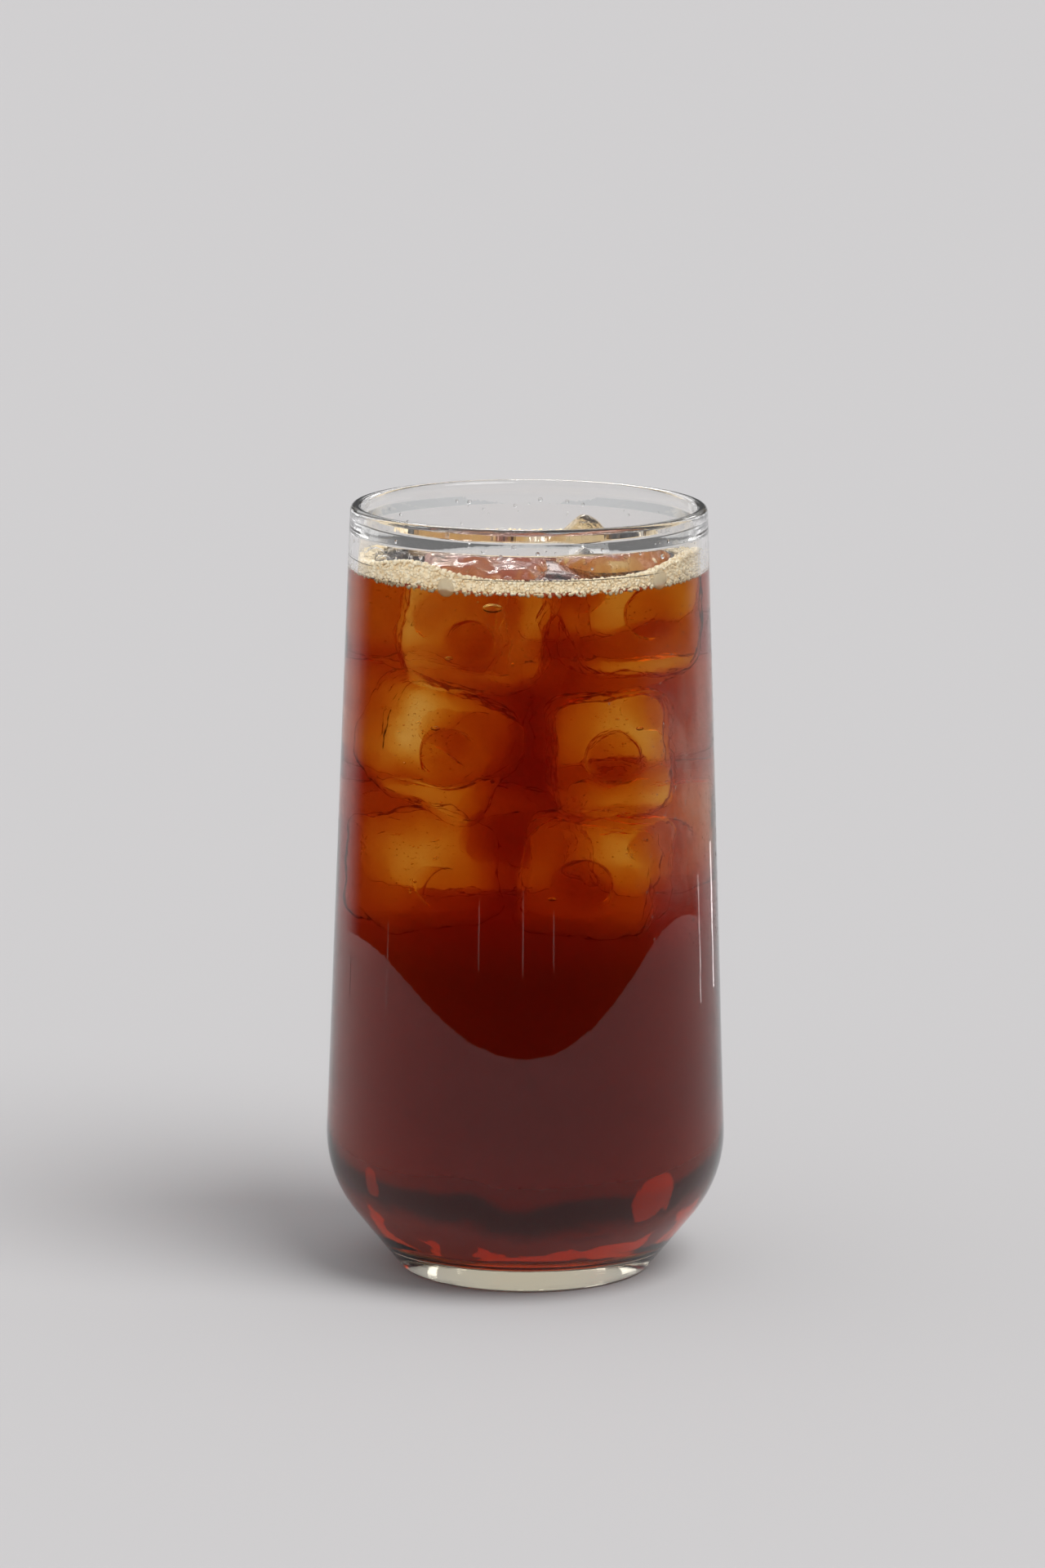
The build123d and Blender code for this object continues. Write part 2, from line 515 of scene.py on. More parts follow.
def follow_froth(vert):
    """Puts a corner of the wetted edge at the height that the froth's underside has there."""
    bearing = math.degrees(math.atan2(vert.co.y, vert.co.x))
    height = froth_section(bearing)[0]
    vert.co.xy *= inner_radius(height) / vert.co.xy.length
    vert.co.z = height


def wave_heel(vert):
    """Moves a corner of the heel's inside inwards and up, by its soft waves."""
    wave = noise.noise(vert.co / HEEL_WAVE_LENGTH) + 0.5 * noise.noise(vert.co / HEEL_RIPPLE_LENGTH)
    inward = HEEL_WAVES * max(0.0, 0.5 + wave) * smoothstep(3 - 3 * vert.co.z / HEEL_WAVES_TOP)
    inward *= smoothstep((vert.co.z - BASE) / HEEL_WAVES_LOW - 0.5)
    vert.co.xy *= 1 - inward / max(vert.co.xy.length, MM)
    vert.co.z += inward * HEEL_WAVE_LIFT


def make_glass():
    glass = lathe("tumbler", glass_outline(), slot_of=lambda place: int(wetted(place)))
    for vert in glass.data.vertices:
        radius, height = vert.co.xy.length, vert.co.z
        if abs(height - FROTH_EDGE) < TINY and radius < inner_radius(FROTH_EDGE) + INTO_WALL:
            follow_froth(vert)
        elif height < HEEL_WAVES_TOP and wetted(Vector((radius, height))):
            wave_heel(vert)
    dry = glass_material("clear_glass", GLASS_BENDS)
    wet = glass_material("clear_glass_in_coffee", GLASS_BENDS / WATER_BENDS)
    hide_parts("glass")
    finish_piece(glass, "clear_glass", dry, wet)


# -------- balls, bubbles and drops


def ball(splits):
    """Corners and triangles of a unit ball, made from an octahedron split a few times."""
    bm = bmesh.new()
    places = ((1, 0, 0), (0, 1, 0), (-1, 0, 0), (0, -1, 0), (0, 0, 1), (0, 0, -1))
    tips = [bm.verts.new(place) for place in places]
    for i in range(4):
        bm.faces.new((tips[i], tips[(i + 1) % 4], tips[4]))
        bm.faces.new((tips[(i + 1) % 4], tips[i], tips[5]))
    for _ in range(splits):
        bmesh.ops.subdivide_edges(bm, edges=bm.edges, cuts=1, use_grid_fill=True)
        for vert in bm.verts:
            vert.co.normalize()
    bmesh.ops.triangulate(bm, faces=bm.faces)
    bm.verts.index_update()
    places = np.array([v.co[:] for v in bm.verts])
    corners = np.array([[v.index for v in f.verts] for f in bm.faces])
    bm.free()
    return places, corners


def scattered(name, shape, frames):
    """One mesh of many copies of a shape, each carried by its own 4x4 frame."""
    places, corners = shape
    verts = []
    faces = []
    for i, frame_of_copy in enumerate(frames):
        turn = np.array(frame_of_copy.to_3x3())
        verts.append(places @ turn.T + np.array(frame_of_copy.translation))
        faces.append(corners + i * len(places))
    mesh = bpy.data.meshes.new(name)
    mesh.from_pydata(np.concatenate(verts).tolist(), [], np.concatenate(faces).tolist())
    smooth(mesh)
    return new_object(name, mesh)


def round_frame(middle, radius):
    return Matrix.Translation(middle) @ Matrix.Scale(radius, 4)


def facing(outward):
    """Turn that points Z outward from a surface."""
    return outward.to_track_quat("Z", "Y").to_matrix().to_4x4()


def some_size(chance, sizes, rarity):
    """A size between two limits. The rarer large ones are, the higher the power."""
    smallest, largest = sizes
    return smallest + (largest - smallest) * chance.random() ** rarity


# -------- ice

# How square a cube has stayed: a higher power has flatter sides and tighter corners.
ICE_POWER = 6.0
ICE_GRID = 34
DIMPLE_MOUTH = 6.3 * MM
DIMPLE_TIP = 3.4 * MM
DIMPLE_DEPTH = 8.5 * MM
# Dimples that have melted away in part: their size, against a full one, and how far they lie lower
WORN_DIMPLES = {"ice_1": (0.85, 2.6 * MM), "sunk_5": (0.8, 1.0 * MM), "sunk_9": (0.0001, 0.0)}
# How deep the melting has worn a cube, how long its waves are, and how far they lean inwards
MELT_BROAD = 1.5 * MM
MELT_BROAD_LENGTH = 7 * MM
MELT_FINE = 0.62 * MM
MELT_FINE_LENGTH = 2.3 * MM
MELT_LEAN = 0.25
# The room left for a cube in the drink is this much smaller than the cube.
CAVITY_GAP = 0.04 * MM
# A cube has melted flat where it leans on the wall, and stays this far from it.
ICE_TO_WALL = 0.2 * MM
# The cube at the back has melted down to a low bump: where that stands, how wide it is, and what share
# of the cube's height is left away from it
MELTED_DOWN = "ice_4"
BUMP_MIDDLE = (11 * MM, 17 * MM)
BUMP_SPREAD = 5.5 * MM
BUMP_LEAST = 0.1

# Cubes that break the surface: width, depth and height, and tilt in degrees. Their middles come
# from the frame.
FLOATING = {
    "ice_1": ((25, 22, 25), (2, 5, -6)),
    "ice_2": ((22, 22, 24), (-7, 0, 26)),
    "ice_3": ((20, 20, 22), (10, -6, 21)),
    "ice_4": ((19, 19, 21), (4, -12, -23)),
}

# Sunk cubes: size, place from the centre line and the drink's level, and tilt in degrees.
SUNK = {
    "sunk_1": ((24, 21, 23), (-15.0, -11.4, -34.0), (5, 24, 12)),
    "sunk_2": ((21, 24, 23), (13.9, -12.6, -34.9), (-3, -4, 8)),
    "sunk_3": ((20, 21, 22), (-12.9, 14.1, -33.2), (11, -6, 40)),
    "sunk_4": ((18, 22, 21), (12.4, 12.8, -30.5), (-8, 8, 54)),
    "sunk_5": ((24, 21, 21), (-18.0, -8.6, -58.6), (9, -8, 26)),
    "sunk_6": ((24, 24, 22), (11.0, -14.0, -58.4), (4, 7, -6)),
    "sunk_7": ((21, 21, 22), (-8.1, 17.0, -56.4), (-6, 7, 53)),
    "sunk_8": ((20, 22, 21), (16.3, 10.4, -54.0), (11, -6, 22)),
    "sunk_9": ((10, 12, 22), (0.6, 4.0, -15.5), (8, 5, 22)),
}


def cube_directions():
    """Points on a unit cube's six faces, spaced evenly in angle, with the faces that join them."""
    bm = bmesh.new()
    spaced = [math.tan(math.pi / 4 * (2 * i / ICE_GRID - 1)) for i in range(ICE_GRID + 1)]
    for axis in range(3):
        for side in (-1, 1):
            verts = []
            for u in spaced:
                for v in spaced:
                    place = [0.0, 0.0, 0.0]
                    place[axis] = side
                    place[(axis + 1) % 3] = u
                    place[(axis + 2) % 3] = v
                    verts.append(bm.verts.new(place))
            for i in range(ICE_GRID):
                for j in range(ICE_GRID):
                    at = i * (ICE_GRID + 1) + j
                    after = at + ICE_GRID + 1
                    bm.faces.new((verts[at], verts[at + 1], verts[after + 1], verts[after]))
    bmesh.ops.remove_doubles(bm, verts=bm.verts, dist=TINY)
    return bm


def ice_point(direction, half, seed, dimple):
    """Where a direction from the middle meets the melted cube, dimple included."""
    size, drop = dimple
    reach = sum(abs(d / h) ** ICE_POWER for d, h in zip(direction, half)) ** (-1 / ICE_POWER)
    place = Vector(direction) * reach
    if place.y < 0:
        aside = math.hypot(place.x, place.z + drop) / size
        share = (DIMPLE_MOUTH - aside) / (DIMPLE_MOUTH - DIMPLE_TIP)
        near_face = smoothstep(-place.y / half[1] * 3 - 1.5)
        place.y += DIMPLE_DEPTH * size * smoothstep(share) * near_face
    broad = noise.noise(place / MELT_BROAD_LENGTH + Vector((seed, 0, 0))) - MELT_LEAN
    fine = noise.noise(place / MELT_FINE_LENGTH + Vector((0, seed, 0)))
    return place + place.normalized() * (broad * MELT_BROAD + fine * MELT_FINE)


def ice_mesh(name, half, place, seed, dimple, inset=0.0):
    """A cube of these half sizes, carried to its place by a 4x4 frame."""
    bm = cube_directions()
    for vert in bm.verts:
        vert.co = ice_point(vert.co.normalized(), half, seed, dimple)
    bmesh.ops.transform(bm, matrix=place, verts=bm.verts)
    for vert in bm.verts:
        most = inner_radius(vert.co.z) - ICE_TO_WALL
        vert.co.xy *= min(1, most / max(vert.co.xy.length, MM))
    if inset:
        bmesh.ops.recalc_face_normals(bm, faces=bm.faces)
        bm.normal_update()
        for vert in bm.verts:
            vert.co -= vert.normal * inset
    return from_bmesh(name, bm)


def split_at_level(piece):
    """Cuts a cube's faces along the drink's level and gives the wet part the second slot."""
    bm = bmesh.new()
    bm.from_mesh(piece.data)
    everything = [*bm.verts, *bm.edges, *bm.faces]
    bmesh.ops.bisect_plane(bm, geom=everything, plane_co=(0, 0, LEVEL), plane_no=(0, 0, 1))
    for face in bm.faces:
        face.material_index = int(face.calc_center_median().z < LEVEL)
    bm.to_mesh(piece.data)
    bm.free()
    smooth(piece.data)


def melt_down(piece):
    """Leaves only a low bump of the cube at the back above the drink."""
    for vert in piece.data.vertices:
        above = vert.co.z - LEVEL
        if above > 0:
            away = (vert.co.xy - Vector(BUMP_MIDDLE)).length / BUMP_SPREAD
            vert.co.z = LEVEL + above * (BUMP_LEAST + (1 - BUMP_LEAST) * math.exp(-(away**2)))


def ice_frames():
    """Half sizes and 4x4 frame of every cube."""
    cubes = {}
    for name, facts in [*FLOATING.items(), *SUNK.items()]:
        if name in FLOATING:
            size, tilt = facts
            low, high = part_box(name)
            middle = (low + high) / 2
        else:
            size, place, tilt = facts
            middle = Vector(place) * MM + Vector((0, 0, LEVEL))
        turn = Euler([math.radians(t) for t in tilt], "XYZ").to_matrix().to_4x4()
        cubes[name] = ([s * MM / 2 for s in size], Matrix.Translation(middle) @ turn)
    return cubes


def make_ice(cubes):
    """All the ice, and a slightly smaller copy of each cube for cutting its room in the drink."""
    dry = ice_material("clear_ice", ICE_BENDS, (1.0, 0.93, 0.8, 1), 0.94)
    wet = ice_material("clear_ice_in_coffee", ICE_IN_DRINK_BENDS)
    cloudy = ice_material("clear_ice_near_top", ICE_IN_DRINK_BENDS, clearness=0.985)
    rooms = []
    for seed, (name, (half, place)) in enumerate(cubes.items()):
        dimple = WORN_DIMPLES.get(name, (1.0, 0.0))
        piece = ice_mesh("cube_" + name, half, place, seed * 7.3, dimple)
        rooms.append(ice_mesh("room_" + name, half, place, seed * 7.3, dimple, CAVITY_GAP))
        if name == MELTED_DOWN:
            melt_down(piece)
        materials = (dry, cloudy) if name in FLOATING else (wet,)
        finish_piece(piece, "clear_ice", *materials)
        if name in FLOATING:
            split_at_level(piece)
            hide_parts(name)
    return rooms


AIR_IN_CUBE = 110
AIR_SIZES = (0.05 * MM, 0.2 * MM)
# How far fine air spreads from a cube's heart, how far back and how much taller it lies, as shares
AIR_SPREAD = 0.2
AIR_BACK = 0.1
AIR_TALLER = 1.8
# Larger bubbles: the cube, the place in it and the radius, in mm. They are wide and flat.
CAUGHT_AIR = [
    ("ice_1", (3.2, -8.6, 4.6), 1.2), ("ice_1", (-3.5, -8.0, -6.0), 0.5), ("sunk_1", (-4.5, -8.2, 4.0), 0.6),
    ("sunk_2", (5.0, -8.4, 5.0), 0.5), ("sunk_6", (-5.5, -8.2, -3.5), 0.5), ("ice_2", (-4.0, -8.0, 5.0), 0.6),
]
CAUGHT_AIR_SHAPE = (1.5, 0.7, 0.75, 1)


def make_air_in_ice(cubes):
    """Fine bubbles round the heart of each cube, and larger ones caught in some dimples."""
    chance = random.Random(5)
    frames = []
    for half, place in cubes.values():
        for _ in range(AIR_IN_CUBE):
            spot = [chance.gauss(0, AIR_SPREAD) * h for h in half]
            spot[1] = abs(spot[1]) + AIR_BACK * half[1]
            spot[2] *= AIR_TALLER
            frames.append(round_frame(place @ Vector(spot), some_size(chance, AIR_SIZES, 3)))
    flat = Matrix.Diagonal(CAUGHT_AIR_SHAPE)
    for name, spot, size in CAUGHT_AIR:
        place = cubes[name][1]
        frames.append(round_frame(place @ (Vector(spot) * MM), size * MM) @ flat)
    air = clear_material("air_in_ice", 1 / ICE_BENDS)[0]
    finish_piece(scattered("air_in_ice", ball(2), frames), "clear_ice", air)


# -------- the drink

FILM_DEPTH = 0.3 * MM
MENISCUS_RISE = 1.0 * MM
MENISCUS_WIDTH = 3.0 * MM
MENISCUS_CURVE = 3
MENISCUS_STEPS = 12
# Melt water has thinned the coffee above this height, which is under the lowest ice.
THINNED_ABOVE = 64 * MM
THINNED = (0.896, 0.633, 0.0, 1)
STRONG = (0.861, 0.633, 0.0, 1)
LAYER_GAP = 0.02 * MM


def cut_rooms(piece, rooms):
    """Takes the room of every cube out of a piece."""
    for room in rooms:
        cut = piece.modifiers.new(room.name, "BOOLEAN")
        cut.operation = "DIFFERENCE"
        cut.solver = "MANIFOLD"
        cut.object = room
    depsgraph = bpy.context.evaluated_depsgraph_get()
    mesh = bpy.data.meshes.new_from_object(piece.evaluated_get(depsgraph), depsgraph=depsgraph)
    piece.modifiers.clear()
    old = piece.data
    piece.data = mesh
    bpy.data.meshes.remove(old)
    smooth(mesh)


def make_coffee(rooms):
    """The drink in two layers, the upper one thinned by the melting ice."""
    top = LEVEL - FILM_DEPTH / 2
    upper = [Vector((0, top))]
    upper += [Vector((inner_radius(height, INTO_WALL), height)) for height in (top, THINNED_ABOVE)]
    upper.append(Vector((0, THINNED_ABOVE)))
    low = THINNED_ABOVE - LAYER_GAP
    corners = [Vector((inner_radius(low, INTO_WALL), low)), *inner_corners(INTO_WALL)]
    lower = [Vector((0, low)), *rounded(corners, [SHOULDER_ROUND - WALL_AT_SHOULDER, INNER_BASE_ROUND])]
    for name, outline, colour in (("coffee_thinned", upper, THINNED), ("coffee_strong", lower, STRONG)):
        layer = lathe(name, divided(outline))
        finish_piece(layer, "black_coffee", coffee_material("black_" + name, colour))
        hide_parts("coffee")
        if outline is upper:
            cut_rooms(layer, rooms)
            layer.data.polygons.foreach_set("material_index", [0] * len(layer.data.polygons))


def make_film(rooms):
    """Thin top of the drink, which bends the light, with its edge drawn up the wall."""
    wall = inner_radius(LEVEL, INTO_WALL)
    low = LEVEL - FILM_DEPTH
    outline = [Vector((0, low)), Vector((inner_radius(low, INTO_WALL), low))]
    steps = MENISCUS_STEPS
    for i in range(steps + 1):
        rise = MENISCUS_RISE * math.exp(-MENISCUS_CURVE * i / steps) * (1 - i / steps)
        outline.append(Vector((wall - MENISCUS_WIDTH * i / steps, LEVEL + rise)))
    outline.append(Vector((0, LEVEL)))
    film = lathe("coffee_top", divided(outline, FILM_STEP))
    underside = clear_material("drink_surface_underside", 1.0)[0]
    finish_piece(film, "black_coffee", film_material(), underside)
    cut_rooms(film, rooms)
    for face in film.data.polygons:
        face.material_index = int(face.normal.z < 0.5)


# -------- froth

FROTH_CORE_INSET = 0.35 * MM
FROTH_ROOM_MARGIN = 0.05 * MM
FROTH_ROOM_INTO_WALL = 0.2 * MM
BUBBLE_COLUMNS = 300
BUBBLE_PITCH = 0.62 * MM
BUBBLE_SIZES = (0.28 * MM, 0.46 * MM)
# How far bubbles stray from their row and their column, as shares of a step, and up and down on top
BUBBLE_STRAY = (0.4, 0.9)
BUBBLE_DIP = (-0.2, 0.1)
FROTH_FRINGE = 0.5 * MM
FROTH_FRINGE_STEP = 0.21

# Clear bubbles against the front of the wall: bearing, radius and height over the drink's level
WALL_BUBBLES = [(-118, 1.9 * MM, -0.9 * MM), (-42, 2.0 * MM, -0.3 * MM)]
WALL_BUBBLE_FLATNESS = 0.45


def wall_bubble_frame(bearing, radius, rise):
    """Frame of a bubble that lies flat against the wall."""
    depth = radius * WALL_BUBBLE_FLATNESS
    middle = at_bearing(bearing, inner_radius(LEVEL) - depth + INTO_WALL, LEVEL + rise)
    flat = Matrix.Diagonal((radius, radius, depth, 1))
    return Matrix.Translation(middle) @ facing(at_bearing(bearing, 1, 0)) @ flat


def froth_spots(column, chance):
    """Places for bubbles up the wall and over the top of the froth: distance from the wall and height."""
    low, high, width = froth_section(360 * column / BUBBLE_COLUMNS)
    low -= FROTH_FRINGE * noise.noise(Vector((column * FROTH_FRINGE_STEP, 0, 0)))
    stray = BUBBLE_STRAY[0]
    spots = []
    rows = round((high - low) / BUBBLE_PITCH)
    for row in range(rows + 1):
        spots.append((0, low + (high - low) * (row + chance.uniform(-stray, stray)) / rows))
    rows = round(width / BUBBLE_PITCH)
    for row in range(1, rows + 1):
        across = width * (row + chance.uniform(-stray, stray)) / rows
        sunk = 0.5 * (high - LEVEL) * (across / width) ** 4
        spots.append((across, high - sunk + chance.uniform(*BUBBLE_DIP) * MM))
    return spots


def froth_bubbles(chance):
    """Frames of the small bubbles. None lies where a clear bubble on the wall does."""
    wall = inner_radius(LEVEL)
    cleared = [(at_bearing(at, wall, LEVEL + rise), 0.95 * radius) for at, radius, rise in WALL_BUBBLES]
    stray = BUBBLE_STRAY[1]
    frames = []
    for column in range(BUBBLE_COLUMNS):
        for across, height in froth_spots(column, chance):
            size = chance.uniform(*BUBBLE_SIZES) * chance.uniform(0.8, 1.1)
            radius = inner_radius(height) - max(across, 0.85 * size)
            bearing = 360 * (column + chance.uniform(-stray, stray)) / BUBBLE_COLUMNS
            middle = at_bearing(bearing, radius, height)
            if all((middle - centre).length > reach for centre, reach in cleared):
                frames.append(round_frame(middle, size))
    return frames


def make_froth():
    material = froth_material()
    core = froth_ring("froth_core", FROTH_CORE_INSET, FROTH_CORE_INSET)
    bubbles = scattered("froth_bubbles", ball(1), froth_bubbles(random.Random(11)))
    for piece in (core, bubbles):
        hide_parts("froth_ring")
        finish_piece(piece, "coffee_froth", material)


# -------- bubbles, beads of water and mist

SKIN_THICKNESS = 0.05 * MM
# Thin-skinned larger bubbles on the drink: bearing, and distance from the wall and radius in mm
SKIN_BUBBLES = [
    (168, 3.6, 2.6), (186, 3.4, 2.2), (199, 4.2, 1.7), (210, 3.2, 1.3), (176, 7.2, 1.6), (157, 4.0, 1.5),
    (22, 3.8, 2.4), (36, 3.6, 2.0), (9, 4.1, 1.6), (48, 4.4, 1.4), (-3, 3.6, 1.2), (29, 7.4, 1.3),
    (100, 3.2, 1.3), (112, 3.6, 1.1), (83, 3.1, 1.0), (-72, 4.6, 1.0), (-84, 4.2, 0.8), (-98, 4.8, 0.9),
]
SURFACE_BUBBLES = 260
SURFACE_BUBBLE_SIZES = (0.15 * MM, 0.5 * MM)
ICE_BEADS = 120
ICE_BEAD_SIZES = (0.12 * MM, 0.42 * MM)
RIM_BEADS = 70
RIM_BEAD_SIZES = (0.15 * MM, 0.5 * MM)
MIST_DROPS = 700
MIST_BEARING = -24
MIST_SPREAD = 14
MIST_HEIGHTS = (66 * MM, 134 * MM)
MIST_SIZES = (0.07 * MM, 0.22 * MM)
# How far the sheet of mist reaches on both sides of its middle bearing, what share of that its edges
# fade over, how much it covers, how far it lies off the glass, and its mesh's steps across and up
MIST_REACH = 34
MIST_FADE = 0.85
MIST_COVER = 0.24
MIST_LIFT = 0.03 * MM
MIST_GRID = (48, 40)
BEAD_FLATNESS = 0.45
# Heights of the beads inside the rim, in mm about the bead's lower end: lowest, highest, most
RIM_BEAD_HEIGHTS = (-4.5, 1.5, 1.0)
# Trails of drops down the front: bearing, and height of the top and length in mm
DRIPS = [(-135, 74, 24), (-104, 80, 14), (-91, 82, 17), (-82, 78, 12), (-154, 66, 12)]
DRIP_WIDTH = 0.11 * MM
DRIP_LEAN = -2.1


def water_material():
    material, nodes, shader = clear_material("water_bead", WATER_BENDS)
    add_unevenness(nodes, shader, 0.01 * MM, Broad_Scale=900.0, Fine_Scale=2500.0)
    return material


def mist_material():
    """Breath-fine mist: pale, thin and in upright streaks."""
    material, nodes, shader = new_material("fine_mist")
    set_sockets(shader, {"Roughness": 0.6, "Specular IOR Level": 0.2})
    light, dark = (0.82, 0.74, 0.64, 1), (0.56, 0.48, 0.4, 1)
    add_mottle(nodes, shader, Light=light, Dark=dark, Scale=1500.0, Contrast=0.2)
    streaks = add_unevenness(nodes, shader, 0.05 * MM, Broad_Scale=170.0, Fine_Scale=900.0,
                             Fine_Share=0.35, Upright_Stretch=2.5)
    limits = {"From Min": 0.2, "From Max": 0.75, "To Max": MIST_COVER}
    cover = nodes.add("ShaderNodeMapRange", {"Value": streaks.outputs["Height"], **limits})
    edges = nodes.add("ShaderNodeAttribute", attribute_name="shade").outputs["Fac"]
    thin = nodes.add("ShaderNodeMath", {0: cover.outputs[0], 1: edges}, operation="MULTIPLY")
    nodes.link(thin.outputs[0], shader.inputs["Alpha"])
    return material


def bead_frame(middle, outward, size):
    """Frame of a flattened bead that sits on a surface facing outward."""
    flat = Matrix.Diagonal((size, size, size * BEAD_FLATNESS, 1))
    return Matrix.Translation(middle) @ facing(outward) @ flat


def make_skins():
    """Thin round skins of bubbles that float by the wall and the ice."""
    outer = ball(3)
    inner = (outer[0], outer[1][:, ::-1])
    frames = []
    for bearing, from_wall, radius in SKIN_BUBBLES:
        middle = at_bearing(bearing, inner_radius(LEVEL) - from_wall * MM, LEVEL + 0.2 * radius * MM)
        frames.append((middle, radius * MM))
    material = clear_material("bubble_skin", WATER_BENDS)[0]
    for name, shape, inset in (("bubble_skins", outer, 0), ("bubble_skins_inside", inner, SKIN_THICKNESS)):
        skins = scattered(name, shape, [round_frame(middle, radius - inset) for middle, radius in frames])
        finish_piece(skins, "coffee_froth", material)


def make_wall_bubbles():
    bubbles = scattered("wall_bubbles", ball(4), [wall_bubble_frame(*facts) for facts in WALL_BUBBLES])
    beige = (0.97, 0.84, 0.6, 1)
    material, nodes, shader = clear_material("bubble_on_wall", WALL_BUBBLE_BENDS, beige, 0.15)
    shader.inputs["Transmission Weight"].default_value = 0.5
    add_unevenness(nodes, shader, 0.1 * MM, Broad_Scale=900.0, Fine_Scale=2500.0)
    finish_piece(bubbles, "coffee_froth", material)


def make_surface_bubbles():
    """Small bubbles that drift between the ice and the froth."""
    chance = random.Random(31)
    frames = []
    while len(frames) < SURFACE_BUBBLES:
        bearing = chance.uniform(0, 360)
        patch = noise.noise(Vector((math.radians(bearing) * 2, 3, 0)))
        if patch < chance.uniform(-0.4, 0.5):
            continue
        from_wall = froth_section(bearing)[2] + abs(chance.gauss(0, 1.6)) * MM
        size = some_size(chance, SURFACE_BUBBLE_SIZES, 3)
        middle = at_bearing(bearing, inner_radius(LEVEL) - from_wall, LEVEL + 0.3 * size)
        frames.append(round_frame(middle, size))
    finish_piece(scattered("surface_bubbles", ball(2), frames), "coffee_froth", froth_material())


def make_beads():
    """Beads of water on the ice above the drink and inside the rim, and fine drops and drips outside."""
    chance = random.Random(17)
    frames = []
    tops = []
    for name in FLOATING:
        mesh = bpy.data.objects["cube_" + name].data
        tops += [v for v in mesh.vertices if v.co.z > LEVEL + 1 * MM]
    for vert in chance.sample(tops, ICE_BEADS):
        frames.append(bead_frame(vert.co, vert.normal, some_size(chance, ICE_BEAD_SIZES, 3)))
    for _ in range(RIM_BEADS):
        bearing = chance.uniform(0, 360)
        height = RIM - BEAD_DEPTH - BEAD_RUN_OUT + chance.triangular(*RIM_BEAD_HEIGHTS) * MM
        size = some_size(chance, RIM_BEAD_SIZES, 2)
        inward = at_bearing(bearing + 180, 1, 0)
        frames.append(bead_frame(at_bearing(bearing, inner_radius(height), height), inward, size))
    water = water_material()
    finish_piece(scattered("water_beads", ball(2), frames), "clear_glass", water)
    drops = scattered("mist_drops", ball(1), mist_frames(random.Random(23)))
    finish_piece(drops, "clear_glass", water)
    finish_piece(scattered("drips", ball(3), drip_frames()), "clear_glass", water)


def drip_frames():
    """Frames of the thin upright trails that drops have left on the front of the glass."""
    frames = []
    lean = Matrix.Rotation(math.radians(DRIP_LEAN), 4, "X")
    for bearing, top, length in DRIPS:
        height = (top - length / 2) * MM
        middle = at_bearing(bearing, outer_radius(height), height)
        thin = Matrix.Diagonal((DRIP_WIDTH, length / 2 * MM, DRIP_WIDTH * BEAD_FLATNESS, 1))
        frames.append(Matrix.Translation(middle) @ facing(at_bearing(bearing, 1, 0)) @ lean @ thin)
    return frames


def make_mist():
    """A thin sheet of mist on the outside of the glass, at the right, that fades out at its edges."""
    bm = bmesh.new()
    shade = bm.verts.layers.float.new("shade")
    across, up = MIST_GRID
    rows = []
    for i in range(across + 1):
        bearing = MIST_BEARING + MIST_REACH * (2 * i / across - 1)
        row = []
        for j in range(up + 1):
            height = MIST_HEIGHTS[0] + (MIST_HEIGHTS[1] - MIST_HEIGHTS[0]) * j / up
            vert = bm.verts.new(at_bearing(bearing, outer_radius(height) + MIST_LIFT, height))
            edges = (min(i, across - i) * 2 / across, min(j, up - j) * 2 / up)
            vert[shade] = smoothstep(edges[0] / MIST_FADE) * smoothstep(edges[1] / MIST_FADE)
            row.append(vert)
        rows.append(row)
    join_rows(bm, rows)
    finish_piece(from_bmesh("mist", bm), "clear_glass", mist_material())


def mist_frames(chance):
    """Frames of the fine drops outside the glass, which lie in streaky patches."""
    frames = []
    while len(frames) < MIST_DROPS:
        bearing = chance.gauss(MIST_BEARING, MIST_SPREAD)
        height = chance.uniform(*MIST_HEIGHTS)
        patch = noise.noise(Vector((bearing * 0.12, height / (11 * MM), 0)))
        if patch < chance.uniform(-0.5, 0.35):
            continue
        middle = at_bearing(bearing, outer_radius(height), height)
        frames.append(bead_frame(middle, at_bearing(bearing, 1, 0), some_size(chance, MIST_SIZES, 2)))
    return frames


# -------- stage, light and camera

FLOOR_SIZE = 30.0
FLOOR_COLOUR = (0.645, 0.63, 0.63, 1)
# The curved dark wall: how far it sweeps to each side of the front and fades at its ends, in degrees,
# and how far off it stands and how tall it is, in metres
FLAG_COLOUR = (0.004, 0.004, 0.004, 1)
FLAG_SWEEP = 142
FLAG_FADE = 25
FLAG_STEPS = 64
FLAG_FRONT = 0.345
FLAG_LEFT = 0.42
FLAG_RIGHT = 0.47
FLAG_HEIGHT = 0.5


def make_floor():
    bm = bmesh.new()
    bmesh.ops.create_grid(bm, x_segments=1, y_segments=1, size=FLOOR_SIZE / 2)
    floor = from_bmesh("floor", bm)
    floor.location = (0, FLOOR_SIZE / 4, 0)
    material, _, shader = new_material("pale_floor")
    set_sockets(shader, {"Base Color": FLOOR_COLOUR, "Roughness": 0.8, "Specular IOR Level": 0.0})
    floor.data.materials.append(material)


